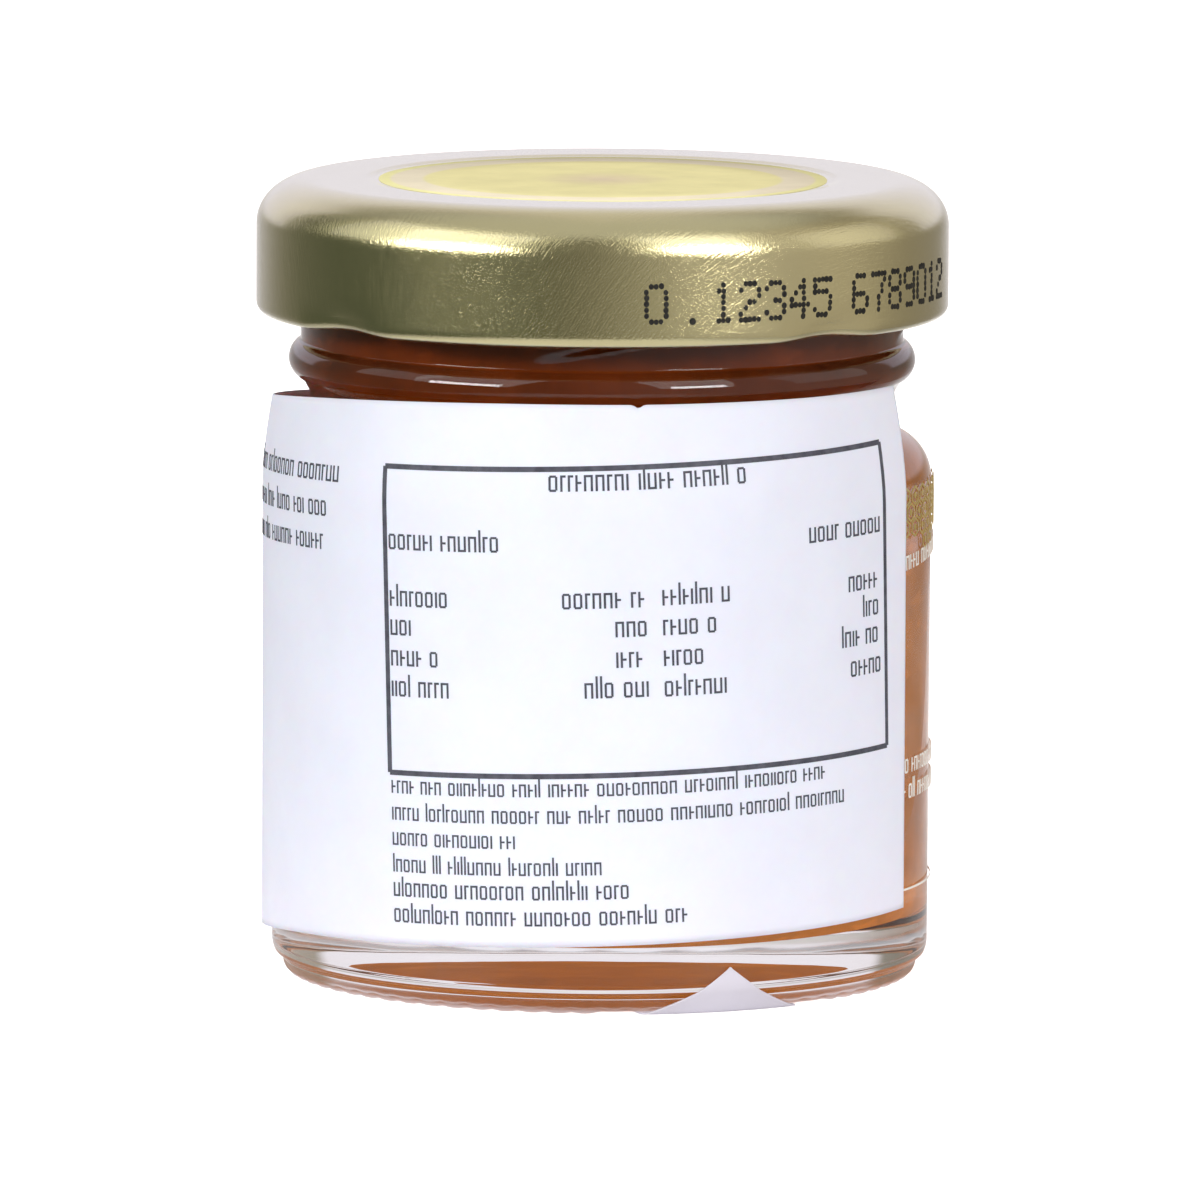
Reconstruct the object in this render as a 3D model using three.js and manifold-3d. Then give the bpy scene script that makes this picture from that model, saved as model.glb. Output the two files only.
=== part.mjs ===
// Marmalade jar: a small round glass jar full of marmalade, shut by a gold
// twist-off lid. A clear printed film goes round the body, a white paper label
// is stuck over it, and a small strip under the base turns up over the heel.
// Millimetres, +Z up. The front faces -Y and +X is to its right. The origin is
// the middle of the ring that the jar stands on.

import * as THREE from 'three';
import { mergeVertices } from 'three/addons/utils/BufferGeometryUtils.js';
import Module from 'manifold-3d';

const wasm = await Module();
wasm.setup();

// Flat sides of everything turned round the axis
const SIDES = 60;
const SIDE_DEG = 360 / SIDES;

// Glass, outside
const STAND_INNER = 18.0;
const PUSH_UP = 1.74;
const STAND_RING = [[19.8, 0], [20.5, 0.1], [20.86, 0.49], [21.01, 1.1]];
const HEEL = [[21.42, 1.4], [21.6, 1.8], [21.66, 2.6]];
const BODY_RADIUS = 21.75;
const BODY_TOP = 32.9;
const SHOULDER_ROUND = 3.2;
const NECK_RADIUS = 19.2;
const NECK_MID = 37.6;
const BEAD_RADIUS = 20.65;
const BEAD_HEIGHT = 40.7;
const BEAD_ROUND = 1.4;
const FINISH_RADIUS = 19.85;
const RIM_TOP = 51.85;
const RIM_ROUND = 1.0;

// Glass, inside
const BORE_RADIUS = 16.8;
const INSIDE_RADIUS = 19.1;
const INSIDE_SHOULDER_FOOT = 31.6;
const INSIDE_SHOULDER_TOP = 35.6;
const INSIDE_FLOOR = 4.1;
const INSIDE_DOME = 0.6;
const INSIDE_CORNER = 2.82;

// Thread ridges on the neck, four of them, each a short right-hand helix
const RIDGE_COUNT = 4;
const RIDGE_LOW_DEG = -14;
const RIDGE_SPAN_DEG = 66;
const RIDGE_LOW = 43.0;
const RIDGE_SLOPE_DEG = 10;
const RIDGE_THICK = 0.75;
const RIDGE_SINK = 1.0;

// Marmalade
const FILL_LEVEL = 48.0;
const FILL_GAP = 0.12;

// Lid, pressed from thin sheet
const LID_RADIUS = 22.8;
const LID_TOP = 52.6;
const LID_FOOT = 43.7;
const LID_SHEET = 0.4;
const PANEL_RADIUS = 14.95;
const PANEL_DEPTH = 0.14;
const PANEL_STEP = 0.4;
const LID_SHOULDER_WIDE = 3.5;
const LID_SHOULDER_HIGH = 3.0;
const CURL_ROUND = 0.75;
const LUG_COUNT = 4;
const LUG_FIRST_DEG = -49;
const LUG_HALF_DEG = 12;
const LUG_TOP = 46.4;
const LUG_DENT = 0.4;
const LUG_LIFT = 0.25;

// Clear film round the body
const FILM_THICK = 0.1;
const FILM_GAP = 0.06;
const FILM_FOOT = 5.7;
const FILM_TOP = 33.3;
const FILM_START_DEG = -18;
const FILM_SPAN_DEG = 348;

// Paper label over the film
const PAPER_THICK = 0.12;
const PAPER_RADIUS = 22.06;
const PAPER_SLACK = 0.16;
const PAPER_LEFT_DEG = -138;
const PAPER_RIGHT_DEG = 64;
const PAPER_FOOT = 4.72;
const PAPER_TOP = 39.95;
const PAPER_TILT_DEG = 2.0;
const PAPER_LEAN = 0.95;
const PAPER_SLUMP = 1.8;

// Sticker under the base, a strip whose pointed end turns up over the heel
const STICKER_LONG = 20;
const STICKER_HALF_WIDE = 5.5;
const STICKER_SPREAD = 1.35;
const STICKER_THICK = 0.1;
const STICKER_GAP = 0.09;
const STICKER_DEG = 23;
const STICKER_REACH = 24.0;
const STICKER_CLEARANCE = 0.02;
const STICKER_TIP = 0.03;

const degrees = THREE.MathUtils.degToRad;
const point = (radius, height) => new THREE.Vector2(radius, height);

// Points on a round stretch of a profile, both ends included
function arc(centreR, centreZ, halfWide, halfHigh, fromDeg, toDeg, steps) {
  const points = [];
  for (let i = 0; i <= steps; i += 1) {
    const angle = degrees(fromDeg + (toDeg - fromDeg) * i / steps);
    points.push(point(centreR + halfWide * Math.cos(angle), centreZ + halfHigh * Math.sin(angle)));
  }
  return points;
}

// A profile turned round the axis: angle 0 is the front, 90 degrees is +X
function turned(profile) {
  return new THREE.LatheGeometry(profile, SIDES).rotateX(Math.PI / 2);
}

// Place on the round body at an angle from the front, a radius and a height
function onRound(angleDeg, radius, height) {
  const angle = degrees(angleDeg);
  return new THREE.Vector3(radius * Math.sin(angle), -radius * Math.cos(angle), height);
}

// Moves every corner of a geometry to the place that a rule gives for it
function reshaped(geometry, place) {
  const corners = geometry.attributes.position;
  const corner = new THREE.Vector3();
  for (let i = 0; i < corners.count; i += 1) {
    corner.fromBufferAttribute(corners, i);
    corner.copy(place(corner));
    corners.setXYZ(i, corner.x, corner.y, corner.z);
  }
  geometry.deleteAttribute('normal');
  geometry.deleteAttribute('uv');
  return geometry;
}

// Shape with its corners merged and no slivers, ready to be joined to another
function toSolid(geometry) {
  const bare = geometry.clone();
  bare.deleteAttribute('normal');
  bare.deleteAttribute('uv');
  const merged = mergeVertices(bare, 1e-3);
  const index = merged.index.array;
  const whole = [];
  for (let i = 0; i < index.length; i += 3) {
    const [a, b, c] = [index[i], index[i + 1], index[i + 2]];
    if (a !== b && b !== c && c !== a) whole.push(a, b, c);
  }
  const corners = Float32Array.from(merged.attributes.position.array);
  return new wasm.Manifold(new wasm.Mesh({
    numProp: 3,
    vertProperties: corners,
    triVerts: Uint32Array.from(whole),
  }));
}

function fromSolid(solid) {
  const mesh = solid.getMesh();
  const geometry = new THREE.BufferGeometry();
  geometry.setAttribute('position', new THREE.BufferAttribute(mesh.vertProperties, 3));
  geometry.setIndex(new THREE.BufferAttribute(mesh.triVerts, 1));
  return geometry;
}

// Underside of the jar, from the axis out to the foot of the body: the pushed-up
// middle, the ring it stands on and the heel above the ring's edge
function basePoints(ring) {
  const pushedUp = [0, 0.45, 0.8, 1].map((share) => (
    point(STAND_INNER * share, PUSH_UP * (1 - share ** 2))
  ));
  return [...pushedUp, ...[...ring, ...HEEL].map(([radius, height]) => point(radius, height))];
}

// Shoulder, neck, bead and rim, from the top of the body to the bore
function upperPoints() {
  return [
    ...arc(BODY_RADIUS - SHOULDER_ROUND, BODY_TOP, SHOULDER_ROUND, SHOULDER_ROUND, 0, 74, 6),
    point(NECK_RADIUS + 0.04, NECK_MID - 1.0),
    point(NECK_RADIUS, NECK_MID),
    point(NECK_RADIUS + 0.12, NECK_MID + 1.2),
    ...arc(BEAD_RADIUS - BEAD_ROUND, BEAD_HEIGHT, BEAD_ROUND, BEAD_ROUND, -60, 62, 6),
    point(FINISH_RADIUS, BEAD_HEIGHT + BEAD_ROUND),
    ...arc(FINISH_RADIUS - RIM_ROUND, RIM_TOP - RIM_ROUND, RIM_ROUND, RIM_ROUND, 0, 90, 2),
    ...arc(BORE_RADIUS + RIM_ROUND, RIM_TOP - RIM_ROUND, RIM_ROUND, RIM_ROUND, 90, 180, 2),
  ];
}

// Inside of the glass from the bore down to the middle of its floor, drawn in
// by a gap: the glass itself has none, the marmalade keeps a little
function insidePoints(gap) {
  const bore = BORE_RADIUS - gap;
  const inside = INSIDE_RADIUS - gap;
  const corner = INSIDE_CORNER - gap;
  const floor = INSIDE_FLOOR + gap;
  return [
    point(bore, INSIDE_SHOULDER_TOP),
    point(bore + (inside - bore) * 0.42, INSIDE_SHOULDER_TOP - 0.9),
    point(bore + (inside - bore) * 0.84, INSIDE_SHOULDER_TOP - 2.3),
    point(inside, INSIDE_SHOULDER_FOOT),
    ...arc(inside - corner, floor + corner, corner, corner, 0, -90, 4),
    point(BORE_RADIUS / 2, floor + INSIDE_DOME * 0.75),
    point(0, floor + INSIDE_DOME),
  ];
}

// Path of one thread ridge, which dips into the wall at both ends
class RidgePath extends THREE.Curve {
  constructor(lowDeg) {
    super();
    this.lowDeg = lowDeg;
  }

  getPoint(t) {
    const rise = FINISH_RADIUS * degrees(RIDGE_SPAN_DEG) * Math.tan(degrees(RIDGE_SLOPE_DEG));
    const dip = RIDGE_SINK * (2 * t - 1) ** 8;
    return onRound(this.lowDeg + RIDGE_SPAN_DEG * t, FINISH_RADIUS - dip, RIDGE_LOW + rise * t);
  }
}

function ridge(lowDeg) {
  const round = new THREE.Shape().absarc(0, 0, RIDGE_THICK, 0, 2 * Math.PI);
  return new THREE.ExtrudeGeometry(round, {
    steps: 12,
    curveSegments: 4,
    extrudePath: new RidgePath(lowDeg),
  });
}

// The stand ring is a little higher where the sticker passes under it, so that
// the jar stands on glass
function easedForSticker(corner) {
  const angle = THREE.MathUtils.radToDeg(Math.atan2(corner.x, -corner.y));
  const radius = Math.hypot(corner.x, corner.y);
  const eased = STICKER_THICK + STICKER_GAP + STICKER_CLEARANCE;
  const near = Math.abs(angle - STICKER_DEG) < 4.5 * SIDE_DEG;
  if (near && radius > 1 && corner.z < eased) corner.z = eased;
  return corner;
}

function glassJar() {
  const profile = [...basePoints(STAND_RING), ...upperPoints(), ...insidePoints(0)];
  const jar = reshaped(turned(profile), easedForSticker);
  let solid = toSolid(jar);
  for (let i = 0; i < RIDGE_COUNT; i += 1) {
    solid = solid.add(toSolid(ridge(RIDGE_LOW_DEG + i * 360 / RIDGE_COUNT)));
  }
  return fromSolid(solid);
}

function marmalade() {
  const bore = BORE_RADIUS - FILL_GAP;
  const profile = [point(0, FILL_LEVEL), point(bore, FILL_LEVEL), ...insidePoints(FILL_GAP)];
  return turned(profile.reverse());
}

// Outside of the lid from the middle of its panel down to the curl
function lidOutside() {
  const panel = LID_TOP - PANEL_DEPTH;
  const crest = LID_RADIUS - LID_SHOULDER_WIDE;
  const shoulder = LID_TOP - LID_SHOULDER_HIGH;
  return [
    point(0, panel),
    point(PANEL_RADIUS, panel),
    point(PANEL_RADIUS + PANEL_STEP, LID_TOP - 0.08),
    ...arc(crest, shoulder, LID_SHOULDER_WIDE, LID_SHOULDER_HIGH, 90, 0, 6),
    point(LID_RADIUS, LUG_TOP),
    point(LID_RADIUS, (LUG_TOP + LID_FOOT + CURL_ROUND) / 2),
  ];
}

// Rolled lower edge, from the outside round to the inside of the skirt
function curl() {
  return arc(LID_RADIUS - CURL_ROUND, LID_FOOT + CURL_ROUND, CURL_ROUND, CURL_ROUND, 0, -300, 7);
}

function lidInside() {
  const panel = LID_TOP - PANEL_DEPTH - LID_SHEET;
  const crest = LID_RADIUS - LID_SHOULDER_WIDE;
  const shoulder = LID_TOP - LID_SHOULDER_HIGH;
  const wide = LID_SHOULDER_WIDE - LID_SHEET;
  const high = LID_SHOULDER_HIGH - LID_SHEET;
  return [
    point(LID_RADIUS - LID_SHEET, LUG_TOP),
    ...arc(crest, shoulder, wide, high, 0, 90, 4),
    point(PANEL_RADIUS + PANEL_STEP + 0.2, LID_TOP - 0.08 - LID_SHEET),
    point(PANEL_RADIUS + 0.1, panel),
    point(0, panel),
  ];
}

// Each lug is a stretch of the curl pushed in and up, which dents the skirt
function lugged(corner) {
  const angle = THREE.MathUtils.radToDeg(Math.atan2(corner.x, -corner.y));
  const pitch = 360 / LUG_COUNT;
  const turns = Math.round((angle - LUG_FIRST_DEG) / pitch);
  const off = Math.abs(angle - LUG_FIRST_DEG - turns * pitch) / LUG_HALF_DEG;
  const radius = Math.hypot(corner.x, corner.y);
  const skirt = radius > BEAD_RADIUS && corner.z < LUG_TOP;
  if (!skirt || off >= 1) return corner;
  const across = Math.cos(off * Math.PI / 2) ** 2;
  const down = Math.min(1, (LUG_TOP - corner.z) / (LUG_TOP - LID_FOOT - CURL_ROUND));
  const pushed = (radius - LUG_DENT * across * down) / radius;
  corner.x *= pushed;
  corner.y *= pushed;
  corner.z += LUG_LIFT * across * down;
  return corner;
}

function lid() {
  const profile = [...lidOutside(), ...curl(), ...lidInside()];
  return reshaped(turned(profile.reverse()), lugged);
}

// Outside radius of the glass body at a height between its foot and shoulder
function bodyRadius(height) {
  if (height > BODY_TOP) {
    const up = height - BODY_TOP;
    return BODY_RADIUS - SHOULDER_ROUND + Math.sqrt(SHOULDER_ROUND ** 2 - up ** 2);
  }
  const [footRadius, foot] = HEEL.at(-1);
  return footRadius + (BODY_RADIUS - footRadius) * (height - foot) / (BODY_TOP - foot);
}

// A flat sheet whose x is an angle, y a height and z its thickness, bent round
function filmLabel() {
  const columns = FILM_SPAN_DEG / SIDE_DEG;
  const sheet = new THREE.BoxGeometry(FILM_SPAN_DEG, FILM_TOP - FILM_FOOT, FILM_THICK, columns, 2, 1);
  return reshaped(sheet, ({ x, y, z }) => {
    const height = y + (FILM_TOP + FILM_FOOT) / 2;
    const radius = bodyRadius(height) + FILM_GAP + FILM_THICK / 2 + z;
    return onRound(FILM_START_DEG + FILM_SPAN_DEG / 2 + x, radius, height);
  });
}

// Lower edge of the paper, which is stuck on a little crooked
function paperFoot(angleDeg) {
  const arcLength = PAPER_RADIUS * degrees(angleDeg);
  const curledLeft = 0.5 * THREE.MathUtils.smoothstep(-angleDeg, 55, 100);
  return PAPER_FOOT + arcLength * Math.tan(degrees(PAPER_TILT_DEG)) - curledLeft;
}

// Upper edge of the paper, which stands free of the shoulder and slumps
// towards the left
function paperTop(angleDeg) {
  const left = Math.max(0, -angleDeg) / 90;
  const slumped = left < 1 ? left ** 2 : 1 + (left - 1) * 1.5;
  return PAPER_TOP - PAPER_SLUMP * slumped;
}

function paperLabel() {
  const span = PAPER_RIGHT_DEG - PAPER_LEFT_DEG;
  const sheet = new THREE.BoxGeometry(span, 1, PAPER_THICK, 42, 6, 1);
  return reshaped(sheet, ({ x, y, z }) => {
    const angle = (PAPER_LEFT_DEG + PAPER_RIGHT_DEG) / 2 + x;
    const foot = paperFoot(angle);
    const height = foot + (paperTop(angle) - foot) * (y + 0.5);
    const free = Math.max(0, height - BODY_TOP) / (PAPER_TOP - BODY_TOP);
    const slack = PAPER_SLACK * THREE.MathUtils.smoothstep(-angle, 20, 90);
    const radius = PAPER_RADIUS + slack + PAPER_THICK / 2 + z - PAPER_LEAN * free ** 1.5;
    return onRound(angle, radius, height);
  });
}

// Point and outward normal at a distance from the axis, measured over the
// surface of the underside and up the heel. The sticker spans the hollow between
// the ring and the heel.
function alongBase(distance) {
  const outline = [...basePoints(STAND_RING.slice(0, -1)), point(BODY_RADIUS, BODY_TOP)];
  let left = distance;
  for (let i = 1; i < outline.length; i += 1) {
    const step = outline[i].clone().sub(outline[i - 1]);
    const length = step.length();
    if (left <= length) {
      const direction = step.divideScalar(length);
      const place = outline[i - 1].clone().addScaledVector(direction, left);
      return { place, normal: point(direction.y, -direction.x) };
    }
    left -= length;
  }
  throw new Error('the sticker reaches past the heel');
}

function baseSticker() {
  const sheet = new THREE.BoxGeometry(2, STICKER_LONG, STICKER_THICK, 6, 36, 1);
  return reshaped(sheet, ({ x, y, z }) => {
    const forward = STICKER_REACH - STICKER_LONG / 2 + y;
    const pointed = STICKER_SPREAD * (STICKER_REACH - forward);
    const sideways = -x * Math.max(STICKER_TIP, Math.min(pointed, STICKER_HALF_WIDE));
    const distance = Math.hypot(forward, sideways);
    const turn = THREE.MathUtils.radToDeg(Math.atan2(sideways, forward));
    const { place, normal } = alongBase(distance);
    const lift = STICKER_GAP + STICKER_THICK / 2 - z;
    place.addScaledVector(normal, lift);
    const lowest = STICKER_CLEARANCE + STICKER_THICK / 2 + z;
    return onRound(STICKER_DEG + turn, place.x, Math.max(place.y, lowest));
  });
}

function named(name, geometry, colour, roughness, metalness) {
  const material = new THREE.MeshStandardMaterial({ color: colour, roughness, metalness });
  const mesh = new THREE.Mesh(geometry, material);
  mesh.name = name;
  return mesh;
}

const jar = new THREE.Group();
jar.add(named('glass_jar', glassJar(), 0xdfe6e0, 0.05, 0));
jar.add(named('marmalade', marmalade(), 0xb5651d, 0.35, 0));
jar.add(named('lid', lid(), 0xb5a878, 0.35, 1));
jar.add(named('film_label', filmLabel(), 0xc8b060, 0.2, 0));
jar.add(named('paper_label', paperLabel(), 0xe8e8f0, 0.7, 0));
jar.add(named('base_sticker', baseSticker(), 0xe6e6ee, 0.7, 0));

export default jar;
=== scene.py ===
import math
import random

import bpy
import numpy as np
from mathutils import Matrix, Vector


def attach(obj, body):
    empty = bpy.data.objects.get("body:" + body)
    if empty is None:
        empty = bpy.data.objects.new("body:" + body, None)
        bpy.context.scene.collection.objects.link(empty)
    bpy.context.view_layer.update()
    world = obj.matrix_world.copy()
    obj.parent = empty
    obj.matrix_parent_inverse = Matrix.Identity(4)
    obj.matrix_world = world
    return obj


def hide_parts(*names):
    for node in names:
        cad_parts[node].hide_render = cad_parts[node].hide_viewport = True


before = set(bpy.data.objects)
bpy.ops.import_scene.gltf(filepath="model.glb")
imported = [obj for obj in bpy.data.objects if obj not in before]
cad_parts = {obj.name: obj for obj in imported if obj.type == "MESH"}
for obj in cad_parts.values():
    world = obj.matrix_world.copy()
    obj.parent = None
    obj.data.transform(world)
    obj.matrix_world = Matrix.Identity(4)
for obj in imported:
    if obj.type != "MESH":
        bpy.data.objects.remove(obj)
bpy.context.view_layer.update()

# Glass jar
# A small round jar pressed from clear glass, thick in the base. The underside is
# pushed up and stands on a stippled, knurled ring. Above the bead, four thread
# ridges run round the neck. It is one piece, cast in a mould.

MM = 0.001
AROUND = 432
STAND_IN = 18.0
PUSH_UP = 1.74
RING = [(STAND_IN, 0.0), (19.8, 0.0), (20.3, 0.02), (20.6, 0.15), (20.86, 0.49)]
HOLLOW = [(21.01, 1.1)]
HEEL = [(21.42, 1.4), (21.55, 1.62), (21.63, 1.92), (21.66, 2.3), (21.67, 4.0)]
BODY = dict(foot=21.66, foot_height=2.6, radius=21.75, top=32.9, shoulder=3.2)
NECK = [(19.3, 36.25), (19.24, 36.6), (19.2, 37.1), (19.2, 37.6), (19.22, 38.1), (19.28, 38.6)]
BEAD = dict(radius=19.25, height=40.7, thick=1.4)
FINISH = dict(radius=19.85, foot=42.05, top=50.7)
RIM = dict(top=51.85, round=1.0)
BORE_HEIGHTS = (48.0, 44.0, 40.0, 36.4)
INSIDE = dict(
    bore=16.8, radius=19.1, shoulder_foot=31.6, shoulder_top=35.6, floor=4.1, dome=0.6, corner=2.82)
RIDGES = dict(count=4, low_deg=-14.0, span_deg=66.0, low=43.0, slope_deg=10.0, thick=0.7, end=49.5)
KNURLS = dict(count=72, depth=0.09, inner=17.6, outer=18.3, full=0.15, end=0.75)
# the ring is eased where the base sticker passes under it
STICKER_DEG = 23.0
EASE = dict(depth=0.22, full_deg=22.0, end_deg=26.0)


def smooth(value, low=0.0, high=1.0):
    t = np.clip((value - low) / (high - low), 0.0, 1.0)
    return t * t * (3 - 2 * t)


def arc(centre_r, centre_z, wide, high, start_deg, end_deg, steps):
    points = []
    for i in range(steps + 1):
        a = math.radians(start_deg + (end_deg - start_deg) * i / steps)
        points.append((centre_r + wide * math.cos(a), centre_z + high * math.sin(a)))
    return points


def line(start, end, steps):
    """Points after start, up to and with end."""
    return [
        (start[0] + (end[0] - start[0]) * i / steps, start[1] + (end[1] - start[1]) * i / steps)
        for i in range(1, steps + 1)
    ]


def through(points, steps):
    """A soft curve through all the points, which never dips below the table."""
    p = np.array(points)
    p = np.concatenate([[2 * p[0] - p[1]], p, [2 * p[-1] - p[-2]]])
    curve = []
    for a, b, c, d in zip(p, p[1:], p[2:], p[3:]):
        for i in range(steps):
            t = i / steps
            bend = (2 * a - 5 * b + 4 * c - d) * t**2
            sway = (3 * b - a - 3 * c + d) * t**3
            curve.append(tuple(np.maximum(0.0, 0.5 * (2 * b + (c - a) * t + bend + sway))))
    return curve + [points[-1]]


def on_round(angle, radius, height):
    """Places in metres; angle in radians from the front, towards +X."""
    return np.stack([radius * np.sin(angle), -radius * np.cos(angle), height], axis=-1) * MM


def finished(name, corners, faces, material, node, rounded=True):
    """A mesh piece; node is the one of the frame that it stands for, or None."""
    mesh = bpy.data.meshes.new(name)
    mesh.from_pydata(corners, [], faces)
    mesh.materials.append(material)
    if rounded:
        mesh.shade_smooth()
        mesh.validate()
    piece = bpy.data.objects.new(name, mesh)
    bpy.context.scene.collection.objects.link(piece)
    if node:
        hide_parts(node)
    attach(piece, "root")
    return piece


def turned(profile, around, place=None):
    """A profile that starts and ends on the axis, turned into a closed form."""
    inner = profile[1:-1]
    radius = np.array([p[0] for p in inner])[:, None] * np.ones(around)
    height = np.array([p[1] for p in inner])[:, None] * np.ones(around)
    angle = np.ones(len(inner))[:, None] * np.arange(around) * 2 * math.pi / around
    if place:
        radius, height = place(angle, radius, height)
    corners = on_round(angle, radius, height).reshape(-1, 3).tolist()
    first = len(corners)
    corners += [(0, 0, profile[0][1] * MM), (0, 0, profile[-1][1] * MM)]
    faces = []
    for i in range(len(inner) - 1):
        for j in range(around):
            k = (j + 1) % around
            faces.append((i * around + j, i * around + k, (i + 1) * around + k, (i + 1) * around + j))
    last = (len(inner) - 1) * around
    for j in range(around):
        k = (j + 1) % around
        faces.append((first, k, j))
        faces.append((last + j, last + k, first + 1))
    return corners, faces


def domed(radii, edge, foot, rise):
    """Points of a shallow dome that rises in the middle and meets foot at its edge."""
    return [(r, foot + rise * (1 - (r / edge) ** 2)) for r in radii]


def inner_shoulder(bore, wide):
    """From the foot of the bore down and out to the wall."""
    top, foot = INSIDE["shoulder_top"], INSIDE["shoulder_foot"]
    return [(bore + (wide - bore) * smooth(t), top - (top - foot) * t) for t in np.linspace(0, 1, 11)]


def glass_profile():
    b, i = BODY, INSIDE
    push = domed(np.linspace(0, STAND_IN, 24)[:-1], STAND_IN, 0.0, PUSH_UP)
    heel = through(RING + HOLLOW + HEEL, 6)
    body = line(heel[-1], (b["radius"], b["top"]), 4)
    shoulder = arc(b["radius"] - b["shoulder"], b["top"], b["shoulder"], b["shoulder"], 0, 74, 14)
    bead = arc(BEAD["radius"], BEAD["height"], BEAD["thick"], BEAD["thick"], -68, 64, 14)
    finish = [(FINISH["radius"], z) for z in np.linspace(FINISH["foot"], FINISH["top"], 40)]
    edge, edge_foot = RIM["round"], RIM["top"] - RIM["round"]
    rim = arc(FINISH["radius"] - edge, edge_foot, edge, edge, 0, 90, 5)
    rim += arc(i["bore"] + edge, edge_foot, edge, edge, 90, 180, 5)
    bore = [(i["bore"], z) for z in BORE_HEIGHTS]
    hollow = inner_shoulder(i["bore"], i["radius"])
    floor_edge, corner_top = i["radius"] - i["corner"], i["floor"] + i["corner"]
    wall = line(hollow[-1], (i["radius"], corner_top), 3)[:-1]
    corner = arc(floor_edge, corner_top, i["corner"], i["corner"], 0, -90, 12)
    floor = domed(np.linspace(floor_edge, 0, 7)[1:], floor_edge, i["floor"], i["dome"])
    outside = push + heel + body + shoulder + NECK + bead + finish
    return outside + rim + bore + hollow + wall + corner + floor


def glass_relief(angle, radius, height):
    """Thread ridges on the neck, knurls under the ring, and its ease over the sticker."""
    deg = np.degrees(angle)
    rise = FINISH["radius"] * math.radians(RIDGES["span_deg"]) * math.tan(math.radians(RIDGES["slope_deg"]))
    ridge = np.zeros_like(radius)
    for k in range(RIDGES["count"]):
        t = ((deg - RIDGES["low_deg"] - 90.0 * k + 20) % 360 - 20) / RIDGES["span_deg"]
        middle = RIDGES["low"] + rise * t
        ends = smooth(t, -0.03, 0.22) * (1 - smooth(t, 0.78, 1.03))
        off = np.clip(np.abs(height - middle) / (RIDGES["thick"] * 1.1), 0, 1)
        ridge = np.maximum(ridge, RIDGES["thick"] * (1 - off**2) ** 1.6 * ends)
    on_finish = (radius > FINISH["radius"] - 0.3) & (height >= FINISH["foot"]) & (height < RIDGES["end"])
    radius = np.where(on_finish, radius + ridge, radius)
    groove = (0.5 + 0.5 * np.cos(angle * KNURLS["count"])) ** 2 * KNURLS["depth"]
    near = smooth(radius, KNURLS["inner"], KNURLS["outer"])
    height = height + groove * near * (1 - smooth(height, KNURLS["full"], KNURLS["end"]))
    turned_off = np.abs((deg - STICKER_DEG + 180) % 360 - 180)
    eased = EASE["depth"] * (1 - smooth(turned_off, EASE["full_deg"], EASE["end_deg"]))
    return radius, np.maximum(height, eased)


def tree_of(owner):
    """The node tree of a material or of the world; a node group is one itself."""
    return getattr(owner, "node_tree", owner)


def add(owner, kind, **settings):
    node = tree_of(owner).nodes.new(kind)
    for key, value in settings.items():
        setattr(node, key, value)
    return node


def join(owner, value, socket):
    """value is the output of another node, or a plain value for the socket."""
    if isinstance(value, bpy.types.NodeSocket):
        tree_of(owner).links.new(value, socket)
    else:
        socket.default_value = value


def feed(material, **sockets):
    """Outputs of nodes, or plain values, for the sockets of a material's shader."""
    surface = material.node_tree.nodes["Principled BSDF"]
    for key, value in sockets.items():
        join(material, value, surface.inputs[key.replace("_", " ")])


def shader(name, **sockets):
    """A material with one principled shader; sockets are its plain values."""
    material = bpy.data.materials.new(name)
    material.use_nodes = True
    feed(material, **sockets)
    return material


def colour(red, green, blue):
    """Screen colour, 0 to 255, as the linear colour that a shader takes."""
    made = []
    for part in (red, green, blue):
        part /= 255
        made.append(part / 12.92 if part <= 0.04045 else ((part + 0.055) / 1.055) ** 2.4)
    return (*made, 1.0)


def math_node(owner, operation, *values):
    """values are outputs of nodes, or numbers."""
    node = add(owner, "ShaderNodeMath", operation=operation)
    for value, socket in zip(values, node.inputs):
        join(owner, value, socket)
    return node.outputs[0]


def ramp(owner, factor, stops):
    """Colours or greys by a factor; stops are (place, colour)."""
    node = add(owner, "ShaderNodeValToRGB")
    while len(node.color_ramp.elements) < len(stops):
        node.color_ramp.elements.new(0.5)
    for element, (place, shade) in zip(node.color_ramp.elements, stops):
        element.position = place
        element.color = shade if isinstance(shade, tuple) else (shade, shade, shade, 1)
    join(owner, factor, node.inputs["Fac"])
    return node.outputs["Color"]


def soft_range(owner, source, low, high, first, last):
    """first up to where source is low, last from where it is high, and soft between."""
    node = add(owner, "ShaderNodeMapRange", interpolation_type="SMOOTHSTEP")
    for key, value in (("From Min", low), ("From Max", high), ("To Min", first), ("To Max", last)):
        node.inputs[key].default_value = value
    join(owner, source, node.inputs["Value"])
    return node.outputs["Result"]


def mixed(owner, a, b, factor=1.0, blend="MULTIPLY"):
    """Two colours or greys, each an output of a node or a plain colour, as one."""
    node = add(owner, "ShaderNodeMix", data_type="RGBA", blend_type=blend)
    for key, value in (("Factor", factor), ("A", a), ("B", b)):
        join(owner, value, node.inputs[key])
    return node.outputs["Result"]


def noise_on(owner, vector, scale, detail, roughness):
    node = add(owner, "ShaderNodeTexNoise")
    for key, value in (("Vector", vector), ("Scale", scale), ("Detail", detail), ("Roughness", roughness)):
        join(owner, value, node.inputs[key])
    return node.outputs["Fac"]


def noise(owner, scale, detail=3.0, roughness=0.5, stretch=(1, 1, 1)):
    """Noise on object coordinates, scale in waves per metre."""
    mapping = add(owner, "ShaderNodeMapping")
    join(owner, add(owner, "ShaderNodeTexCoord").outputs["Object"], mapping.inputs["Vector"])
    join(owner, stretch, mapping.inputs["Scale"])
    return noise_on(owner, mapping.outputs["Vector"], scale, detail, roughness)


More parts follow.
